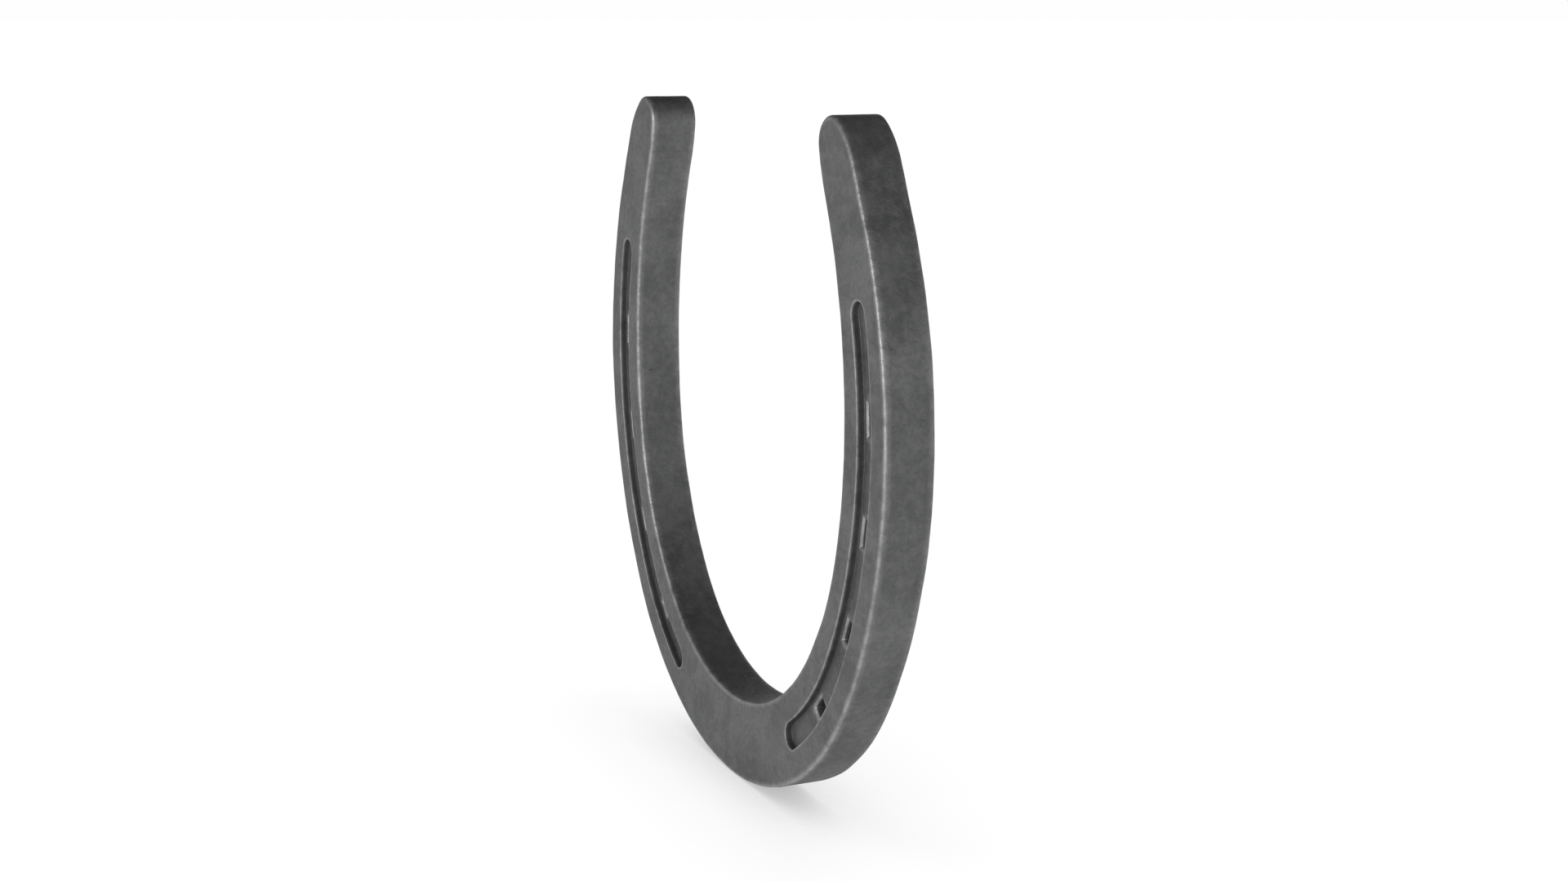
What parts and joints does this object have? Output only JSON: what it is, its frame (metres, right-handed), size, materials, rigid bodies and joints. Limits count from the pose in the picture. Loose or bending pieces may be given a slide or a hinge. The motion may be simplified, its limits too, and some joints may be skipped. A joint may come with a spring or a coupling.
{
  "type": "horseshoe",
  "caption": "A plain forged steel horseshoe, flat on the hoof side, with a crease and empty rectangular nail holes in each branch of the ground side.",
  "frame": {"origin": "on the hoof face, at the middle of the web at the toe", "axes": "+Y out of the hoof face, +Z from the toe up to the heels, +X across to the right branch as seen from the ground face; the shoe stands upright on its toe edge"},
  "size_m": [0.13, 0.0095, 0.13],
  "materials": {
    "forged_steel": "as-forged dark oxide, satin"
  },
  "bodies": {
    "root": {"forged_shoe": "forged_steel"}
  },
  "joints": []
}
